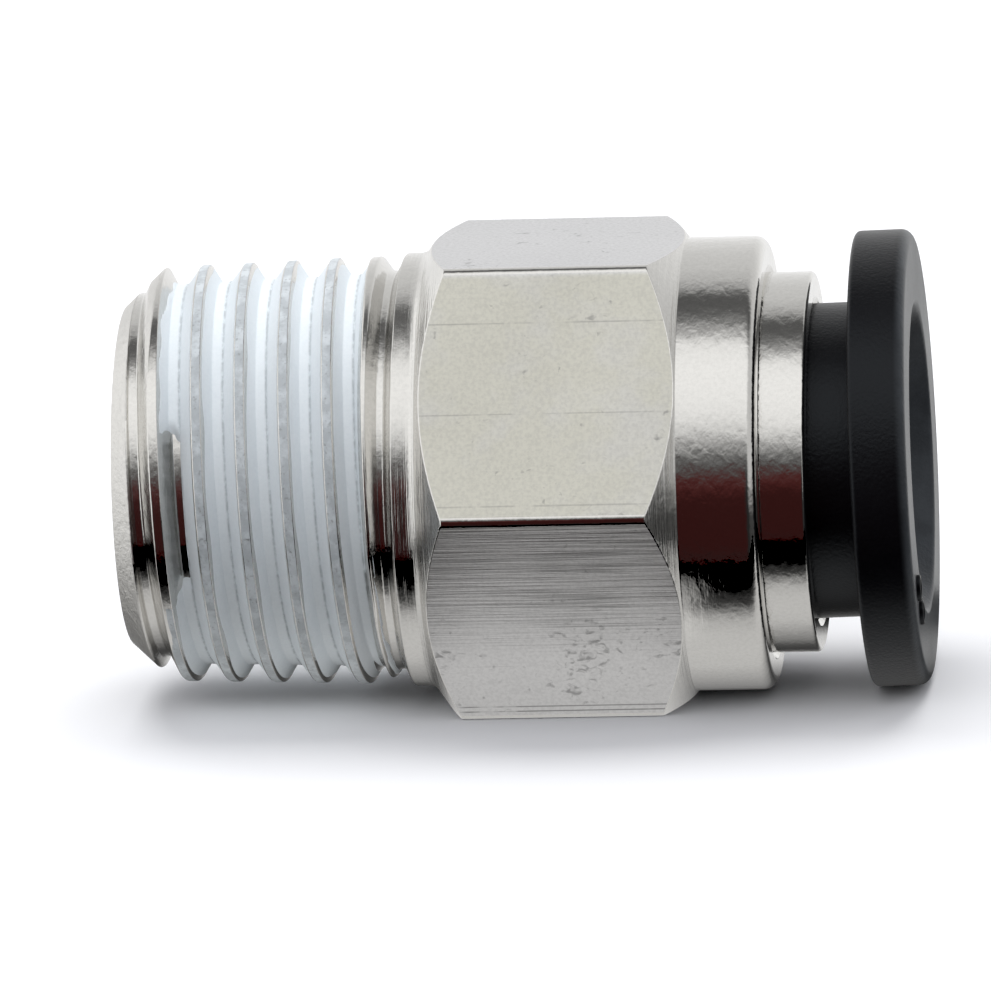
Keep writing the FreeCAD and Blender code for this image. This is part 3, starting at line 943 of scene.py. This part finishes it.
# %% [markdown]
# The release ring is loose in its guide, by a few hundredths of a millimetre all round, and it has
# dropped a little to one side, so its flange leans by about a degree. Four slots let its nose
# spring inwards at assembly, and two small oval marks show where the mould was filled. The slots
# are cut with a Boolean, because they are plain flat cuts through a turned part; the marks are
# separate little caps, sunk into the flange's face. The face and its entry cone are a lighter grey,
# which a mask in the material adds softly, with no hard edge at the flange's black rim.

# %% release ring
NECK = 4.82
BORE = 4.10
BARB = 5.14
BARB_STEP = 13.24
BARB_LENGTH = 0.2
SHANK = NECK - 0.07
SHANK_FROM, SHANK_TO = 12.00, 12.55
NOSE = 4.30
SLOT_TO = 14.40
SLOT_WIDTH = 0.60
SLOT_BAR_HALF = 8
ENTRY_RADIUS = 4.72
ENTRY_DEPTH = 1.05
FACE_GREY = (0.048, 0.053, 0.059, 1)
LEAN_BACK = math.radians(1.25)
LEAN_ABOUT = 14.3
FLANGE_BACK = 16.64


def grey_faced_black():
    """Black plastic that turns a lighter grey over the flange's face and down its entry cone."""
    made, nodes, shader, plain = black("grey_faced_black_plastic")
    place = nodes.add("ShaderNodeTexCoord").outputs["Object"]
    x, y, z = nodes.add("ShaderNodeSeparateXYZ", None, Vector=place).outputs
    along = nodes.math("MULTIPLY_ADD", z, math.tan(LEAN_BACK), x)
    radius = nodes.math("SQRT", nodes.math("ADD", nodes.math("MULTIPLY", y, y),
                                           nodes.math("MULTIPLY", z, z)))
    face = release_high[0] * MM
    on_face = nodes.remap(along, face - 0.35 * MM, face - 0.02 * MM)
    in_cone = nodes.math("MULTIPLY", nodes.remap(along, face - 1.2 * MM, face - 0.8 * MM),
                         nodes.remap(radius, 4.9 * MM, 5.0 * MM, 1.0, 0.0))
    grey_face = nodes.math("MAXIMUM", on_face, in_cone)
    cloud = nodes.remap(nodes.noise(place, 900, 4.0, 0.6), 0.35, 0.65, 0.7, 1.0)
    nodes.set(shader, "Base Color", nodes.blend(
        nodes.math("MULTIPLY", grey_face, cloud), plain, FACE_GREY))
    return made


def leaning(grid):
    """Points turned about a line parallel to Y: the top goes back and the mouth rises."""
    x, y, z = np.moveaxis(grid, -1, 0)
    along = x - LEAN_ABOUT
    cos, sin = math.cos(LEAN_BACK), math.sin(LEAN_BACK)
    return np.stack([LEAN_ABOUT + along * cos - z * sin, y, z * cos + along * sin], axis=-1)


def cut_slots(piece):
    """Subtract two crossed bars from the nose, then write the result back as the piece's mesh."""
    reach = (SLOT_TO - release_low[0] + 1) / 2
    for turn in (math.pi / 4, -math.pi / 4):
        mesh = bpy.data.meshes.new("bar")
        work = bmesh.new()
        bmesh.ops.create_cube(work, size=2)
        size = Matrix.Diagonal((reach * MM, SLOT_WIDTH / 2 * MM, SLOT_BAR_HALF * MM, 1))
        place = Matrix.Translation(((SLOT_TO - reach) * MM, 0, 0)) @ Matrix.Rotation(turn, 4, "X")
        bmesh.ops.transform(work, matrix=place @ size, verts=work.verts)
        work.to_mesh(mesh)
        work.free()
        bar = bpy.data.objects.new("bar", mesh)
        scene.collection.objects.link(bar)
        cut = piece.modifiers.new("slot", "BOOLEAN")
        cut.operation, cut.object, cut.solver = "DIFFERENCE", bar, "EXACT"
        bpy.context.view_layer.update()
        result = bpy.data.meshes.new_from_object(piece.evaluated_get(
            bpy.context.evaluated_depsgraph_get()))
        piece.modifiers.remove(cut)
        piece.data = result
        bpy.data.objects.remove(bar)
    piece.data.set_sharp_from_angle(angle=math.radians(35))
    return len(piece.data.polygons)


release = make_piece("release_button", [leaning(lathe(closed_outline(
    (release_low[0], NOSE, 0.06), (SHANK_FROM, SHANK, 0.1), (SHANK_TO, SHANK, 0.1),
    (BARB_STEP - BARB_LENGTH, BARB, 0.03), (BARB_STEP, BARB, 0.03), (BARB_STEP, NECK, 0.05),
    (FLANGE_BACK, NECK, 0.12), (FLANGE_BACK, flange_radius, 0.16),
    (release_high[0], flange_radius, 0.36), (release_high[0], ENTRY_RADIUS, 0.20),
    (release_high[0] - ENTRY_DEPTH, BORE, 0.5), (release_low[0], BORE, 0.03)), RING_COLUMNS))],
    grey_faced_black(), "release_ring", ["release_ring"])
print("faces with slots cut:", cut_slots(release))

MARK_PROFILE = closed_outline((-0.08, 0.45, 0.02), (0.12, 0.45, 0.04), (0.12, 0.34, 0.03),
                              (0.03, 0.28, 0.03), (0.04, 0.0, 0.0), (-0.08, 0.0, 0.0))
MARK_RADIUS = 5.85
MARK_NARROW = 0.75
MARK_COLUMNS = 32
MARK_ANGLES = (121, 132)


def mould_mark(name, angle):
    """A low oval cap with a raised rim: its outline carried round its own axis, then squeezed."""
    around = np.linspace(0, TURN, MARK_COLUMNS + 1)
    height, radius = MARK_PROFILE[:, :1], np.maximum(MARK_PROFILE[:, 1:], 0)
    along_rim = radius * np.sin(around)
    from_axis = MARK_RADIUS + MARK_NARROW * radius * np.cos(around)
    x = release_high[0] + height + 0 * around
    return make_piece(name, [leaning(carried_round(x, from_axis, angle + along_rim / MARK_RADIUS))],
                      black_plastic, "release_ring", [])


for number, degrees in enumerate(MARK_ANGLES):
    mould_mark(f"mould_mark_{number + 1}", math.radians(degrees))

# %% [markdown]
# ## Inside the mouth
#
# The seal, the support ring and the base of the claw ring are turned shapes again. Each of the ten
# tongues is a sector of a thin cone. Its outline is a long loop, and at both ends of the sector
# the loop is shut by pulling every point onto the tongue's middle line.

# %% seal, support ring and claw base
INNER_COLUMNS = 128
SEAL_BORE = 3.86
SEAL_GROOVE = 0.35
seal_wall = seal_high[2]
seal_waist = seal_wall - 0.43
long = seal_high[0] - seal_low[0]
make_piece("sleeve_seal", [lathe(closed_outline(
    (seal_low[0], seal_wall, 0.15), (seal_low[0] + 0.3 * long, seal_wall, 0.15),
    (seal_low[0] + 0.4 * long, seal_waist, 0.3), (seal_low[0] + 0.6 * long, seal_waist, 0.3),
    (seal_low[0] + 0.7 * long, seal_wall, 0.15), (seal_high[0], seal_wall, 0.15),
    (seal_high[0], SEAL_BORE + 0.5, 0.2), (seal_high[0] - 0.45, SEAL_BORE, 0.25),
    (seal_high[0] - 1.3, SEAL_BORE, 0.25), (seal_high[0] - 1.8, SEAL_BORE + SEAL_GROOVE, 0.25),
    (seal_low[0] + 1.4, SEAL_BORE + SEAL_GROOVE, 0.25), (seal_low[0] + 1.0, SEAL_BORE, 0.25),
    (seal_low[0] + 0.45, SEAL_BORE, 0.25), (seal_low[0], SEAL_BORE + 0.55, 0.2)), INNER_COLUMNS)],
    seal_rubber, "housing", ["seal"])

SUPPORT_BORE = 4.15
SUPPORT_STEP = 9.48
SUPPORT_RIM = 5.62
make_piece("support_washer", [lathe(closed_outline(
    (support_low[0], support_high[2], 0.1), (support_high[0], support_high[2], 0.03),
    (support_high[0], SUPPORT_RIM, 0.03), (SUPPORT_STEP, SUPPORT_BORE + 0.75, 0.1),
    (SUPPORT_STEP, SUPPORT_BORE, 0.1), (support_low[0], SUPPORT_BORE, 0.1)), INNER_COLUMNS)],
    cream_plastic, "housing", ["support_ring"])

BASE_BORE = 5.55
make_piece("claw_base", [lathe(closed_outline(
    (base_low[0], base_high[2], 0.03), (base_high[0], base_high[2], 0.03),
    (base_high[0], BASE_BORE, 0.03), (base_low[0], BASE_BORE, 0.03)), INNER_COLUMNS)],
    claw_steel, "claw_ring", ["claw_ring"])

# %% the ten tongues
CLAW_COUNT = 10
CLAW_THICKNESS = 0.20
PIVOT_RADIUS = 5.40
CLAW_LENGTH = 1.97
TIP_BEVEL = 0.12
LEAN = math.radians(52)
SLIT = math.radians(4.5)
SECTOR_COLUMNS = 20


def claw_loop():
    """Outline of a tongue: out along its front, over the sharp tip, back along its other side."""
    half = CLAW_THICKNESS / 2
    root = np.array([base_low[0] + half, PIVOT_RADIUS])
    along = -np.array([math.cos(LEAN), math.sin(LEAN)])
    across = np.array([-math.sin(LEAN), math.cos(LEAN)])
    reach = np.concatenate([[0, 0.05], np.linspace(0.15, 0.94, 8), [0.96, 1.0]]) * CLAW_LENGTH
    sweep = np.linspace(0, math.pi / 2, 5)
    cap = root + half * (np.outer(-np.cos(sweep), along) + np.outer(np.sin(sweep), -across))
    front = root + np.outer(reach, along) - half * across
    front[-1] -= TIP_BEVEL * along
    back = root + np.outer(reach, along) + half * across
    cap_back = root + half * (np.outer(-np.cos(sweep), along) + np.outer(np.sin(sweep), across))
    one_side = np.concatenate([cap, front[1:]])
    other = np.concatenate([cap_back, back[1:]])
    return np.concatenate([one_side, other[::-1]])


def claw_grid(index):
    """The loop carried round one sector, with both ends pulled onto the middle line."""
    loop = claw_loop()
    middle = (loop + loop[::-1]) / 2
    half_sector = math.pi / CLAW_COUNT - SLIT / 2
    centre = TURN * index / CLAW_COUNT
    around = np.linspace(-half_sector, half_sector, SECTOR_COLUMNS) + centre
    side = carried_round(loop[:, :1], loop[:, 1:], around)
    first = carried_round(middle[:, :1], middle[:, 1:], around[:1])
    last = carried_round(middle[:, :1], middle[:, 1:], around[-1:])
    return np.concatenate([first, side, last], axis=1)


for index in range(CLAW_COUNT):
    name = f"claw_{index + 1}"
    make_piece(f"tongue_{index + 1}", [claw_grid(index)], claw_steel, name, [name])

# %% [markdown]
# ## Stage, light and camera
#
# The floor is plain white and the light is soft. Bright metal shows its surroundings more than
# its own colour, so the surroundings are chosen with care: a bright sky above, a dark zone at
# eye level, and a patch of white floor close to the part. The floor is in two parts. The far one
# takes the shadow and is all of the floor that the camera sees, but it doesn't show in the metal.
# The near one is a glowing card that the camera doesn't see. It lights the part from below and
# shows in its reflections, least where the part's own shadow would lie.

# %% floor and surroundings
FLOOR = -flat * MM


def plate(name, centre, half, normal, shade):
    """A flat rectangular stage piece of one material, facing along its normal."""
    mesh = bpy.data.meshes.new(name)
    corners = [(-half[0], -half[1], 0), (half[0], -half[1], 0), (half[0], half[1], 0),
               (-half[0], half[1], 0)]
    mesh.from_pydata(corners, [], [(0, 1, 2, 3)])
    turn = Vector(normal).to_track_quat("Z", "Y").to_matrix().to_4x4()
    mesh.transform(Matrix.Translation(centre) @ turn)
    piece = bpy.data.objects.new(name, mesh)
    scene.collection.objects.link(piece)
    mesh.materials.append(shade)
    return piece


def paper_shade():
    """White paper: plain and matt."""
    made, nodes, shader = material("paper")
    shader.inputs["Base Color"].default_value = (0.93, 0.935, 0.95, 1)
    shader.inputs["Roughness"].default_value = 0.9
    shader.inputs["Specular IOR Level"].default_value = 0.0
    return made


def ramp(nodes, value, stops):
    """Value looked up in a table of places and levels, in a straight line between them."""
    node = nodes.add("ShaderNodeFloatCurve", None, in1=value)
    curve = node.mapping.curves[0]
    while len(curve.points) < len(stops):
        curve.points.new(0.5, 0.5)
    for point, (place, level) in zip(curve.points, stops):
        point.location = (place, level)
        point.handle_type = "VECTOR"
    node.mapping.update()
    return node.outputs[0]


# How bright the mirrored floor is by distance from the axis in millimetres, and then what is added
# to it beside the hexagon.
FLOOR_LIGHT = ((0, 0.05), (1.0, 0.10), (1.5, 0.22), (2.5, 0.41), (3.7, 0.66), (4.7, 0.70),
               (5.8, 0.68), (6.8, 0.58), (7.5, 0.30), (8.2, 0.06), (9, 0.02))
HEXAGON_LIGHT = ((0, 0), (5, 0), (7, 0.25), (8.5, 0.50), (9.7, 0.38), (11, 0.2), (13, 0))
HEXAGON_MIDDLE = 7.4
HEXAGON_EDGE = (3.4 * MM, 4.6 * MM)
FLOOR_REACH = 13.0
STAGE_MIDDLE = 6 * MM
NEAR_HALF = 22 * MM
FAR_HALF = 3
JUST_BELOW = 2e-6
UPWARDS = (0, 0, 1)


def seen_directly(nodes):
    """1 for light that reaches the eye by mirrors only or by one matt surface, otherwise 0."""
    path = nodes.add("ShaderNodeLightPath").outputs
    through_matt = nodes.math("GREATER_THAN", path["Diffuse Depth"], 0.5)
    by_mirror = nodes.math("MULTIPLY", through_matt, path["Is Glossy Ray"])
    return nodes.math("SUBTRACT", 1.0, by_mirror)


def reflected_floor():
    """Light of the floor beside the part, by distance from its axis: least in its shadow."""
    made = bpy.data.materials.new("reflected_floor")
    made.use_nodes = True
    nodes = Nodes(made.node_tree)
    place = nodes.add("ShaderNodeTexCoord").outputs["Object"]
    split = nodes.add("ShaderNodeSeparateXYZ", None, Vector=place)
    away = nodes.math("ABSOLUTE", nodes.math("MULTIPLY", split.outputs[1], 1 / (FLOOR_REACH * MM)))
    level = ramp(nodes, away, [(far / FLOOR_REACH, light) for far, light in FLOOR_LIGHT])
    beside = nodes.math("ABSOLUTE", nodes.math("SUBTRACT", split.outputs[0], HEXAGON_MIDDLE * MM))
    here = nodes.remap(beside, *HEXAGON_EDGE, 1.0, 0.0)
    more = ramp(nodes, away, [(far / FLOOR_REACH, light) for far, light in HEXAGON_LIGHT])
    level = nodes.math("MULTIPLY_ADD", here, more, level)
    level = nodes.math("MULTIPLY", level, seen_directly(nodes))
    glow = nodes.add("ShaderNodeEmission", None, Strength=level)
    glow.inputs[0].default_value = (1.0, 0.995, 0.99, 1)
    output = nodes.add("ShaderNodeOutputMaterial")
    made.node_tree.links.new(glow.outputs[0], output.inputs[0])
    return made


near = plate("floor_near", (STAGE_MIDDLE, 0, FLOOR - JUST_BELOW), (NEAR_HALF, FLOOR_REACH * MM),
             UPWARDS, reflected_floor())
near.visible_camera = near.visible_shadow = False
far = plate("floor_far", (STAGE_MIDDLE, 0, FLOOR), (FAR_HALF, FAR_HALF), UPWARDS, paper_shade())
far.visible_glossy = far.visible_diffuse = False

# %% the world
# Brightness by the angle about the X axis, in degrees: 0 is level with the part in front of it,
# 90 is straight up, and 180 is level again behind it.
SKY = ((-180, 1.0), (-150, 0.9), (-120, 0.5), (-95, 0.2), (-72, 0.02), (-48, 0.014), (-38, 0.022),
       (-6, 0.024), (1, 0.05), (8, 0.08), (15, 0.18), (22, 0.48), (29, 0.87), (37, 1.08),
       (48, 1.16), (60, 1.18), (70, 1.14), (76, 1.00), (82, 0.58), (89, 0.26), (95, 0.14),
       (103, 0.11), (108, 0.18), (113, 0.44), (120, 0.64), (130, 0.74), (145, 0.78),
       (165, 0.90), (180, 1.0))
BRIGHTEST = 1.25
RED_TINT = (1.7, 0.42, 0.40, 1)
COOL_WHITE = (0.98, 0.985, 1.03, 1)


def surroundings():
    """World: white to the camera; to everything else, banded by the angle about the X axis.

    Shiny surfaces see the bands, two dimmer ends far along X and a reddish patch at the front.
    Matt surfaces, and light that a mirror throws on them, get cooler and dimmer bands with an even
    glow at both ends and no red.
    """
    world = bpy.data.worlds.new("surroundings")
    scene.world = world
    world.use_nodes = True
    nodes = Nodes(world.node_tree)
    direction = nodes.add("ShaderNodeTexCoord").outputs["Generated"]
    split = nodes.add("ShaderNodeSeparateXYZ", None, Vector=direction)
    x, y, z = split.outputs
    angle = nodes.math("ARCTAN2", z, nodes.math("MULTIPLY", y, -1.0))
    turn = nodes.math("MULTIPLY_ADD", angle, 1 / TURN, 0.5)
    band = ramp(nodes, turn, [(place / 360 + 0.5, level / BRIGHTEST) for place, level in SKY])
    tube_side = nodes.remap(z, -0.25, 0.05, 0.05, 0.55)
    thread_side = nodes.remap(z, -0.8, 0.3, 0.5, 0.95)
    to_tube = nodes.remap(x, 0.55, 0.85)
    to_thread = nodes.remap(x, -0.75, -0.45, 1.0, 0.0)
    level = nodes.add("ShaderNodeMix", None, in0=to_tube, in2=band, in3=tube_side).outputs[0]
    level = nodes.add("ShaderNodeMix", None, in0=to_thread, in2=level, in3=thread_side).outputs[0]
    aside = nodes.math("ABSOLUTE", x)
    red = nodes.math("MULTIPLY", nodes.remap(angle, -0.95, -0.5),
                     nodes.remap(angle, 0.0, 0.2, 1.0, 0.0))
    red = nodes.math("MULTIPLY", red, nodes.remap(aside, 0.25, 0.45, 1.0, 0.0))
    tint = nodes.blend(red, (1, 1, 1, 1), RED_TINT)
    lit = nodes.add("ShaderNodeBackground", None, Color=tint,
                    Strength=nodes.math("MULTIPLY", level, BRIGHTEST))
    both_ends = nodes.remap(z, -0.6, 0.2, 0.3, 0.65)
    soft = nodes.add("ShaderNodeMix", None, in0=nodes.remap(aside, 0.45, 0.75), in2=band,
                     in3=both_ends)
    dim = nodes.add("ShaderNodeBackground", None, Color=COOL_WHITE, Strength=soft.outputs[0])
    white = nodes.add("ShaderNodeBackground", None, Color=(1, 1, 1, 1))
    path = nodes.add("ShaderNodeLightPath").outputs
    matt = nodes.math("MAXIMUM", path["Is Diffuse Ray"],
                      nodes.math("SUBTRACT", 1.0, seen_directly(nodes)))
    to_part = nodes.add("ShaderNodeMixShader", None, in0=matt, in1=lit.outputs[0],
                        in2=dim.outputs[0])
    mixed = nodes.add("ShaderNodeMixShader", None, in0=path["Is Camera Ray"],
                      in1=to_part.outputs[0], in2=white.outputs[0])
    output = nodes.add("ShaderNodeOutputWorld")
    world.node_tree.links.new(mixed.outputs[0], output.inputs[0])


surroundings()

# %% two lamps


def softbox(name, place, size, power):
    """A square area light that points at the part."""
    data = bpy.data.lights.new(name, "AREA")
    data.size = size
    data.energy = power
    lamp = bpy.data.objects.new(name, data)
    lamp.location = place
    lamp.rotation_mode = "QUATERNION"
    lamp.rotation_quaternion = Vector(place).to_track_quat("Z", "Y")
    scene.collection.objects.link(lamp)
    lamp.visible_glossy = False
    return lamp


softbox("key", (-0.01, 0.13, 0.33), 0.32, 1.05)
softbox("front", (-0.04, -0.32, 0.17), 0.30, 0.40)
scene.view_settings.view_transform = "Standard"
print("floor at", round(FLOOR / MM, 3), "mm")

# %% [markdown]
# The camera looks at the fitting from the front, a little from above and from the tube's side, with
# a long lens from about 0.4 m. It is turned slightly about its own axis, so the fitting seems to
# rise towards the right. The lens follows from the width of the view at the part: focal length
# over sensor width is distance over view width.

# %% the camera
AZIMUTH, ELEVATION, ROLL = math.radians(5.76), math.radians(11.99), math.radians(-2.32)
DISTANCE = 0.427
AIM = Vector((5.21, 0, -0.876)) * MM
VIEW_WIDTH = 30.426773 * MM
SENSOR = 36


def make_camera():
    """Camera on a sphere about the aim, with its right and up turned by the roll."""
    data = bpy.data.cameras.new("camera")
    data.sensor_width = SENSOR
    data.lens = SENSOR * DISTANCE / VIEW_WIDTH
    data.clip_start, data.clip_end = 0.01, 10
    camera = bpy.data.objects.new("camera", data)
    sin_a, cos_a = math.sin(AZIMUTH), math.cos(AZIMUTH)
    back = Vector((sin_a * math.cos(ELEVATION), -cos_a * math.cos(ELEVATION), math.sin(ELEVATION)))
    right = Vector((cos_a, sin_a, 0))
    up = back.cross(right)
    rolled_right = right * math.cos(ROLL) + up * math.sin(ROLL)
    rolled_up = up * math.cos(ROLL) - right * math.sin(ROLL)
    turn = Matrix((rolled_right, rolled_up, back)).transposed().to_4x4()
    camera.matrix_world = Matrix.Translation(AIM + back * DISTANCE) @ turn
    scene.collection.objects.link(camera)
    scene.camera = camera
    return camera


camera = make_camera()
print("lens", round(camera.data.lens, 1), "mm")
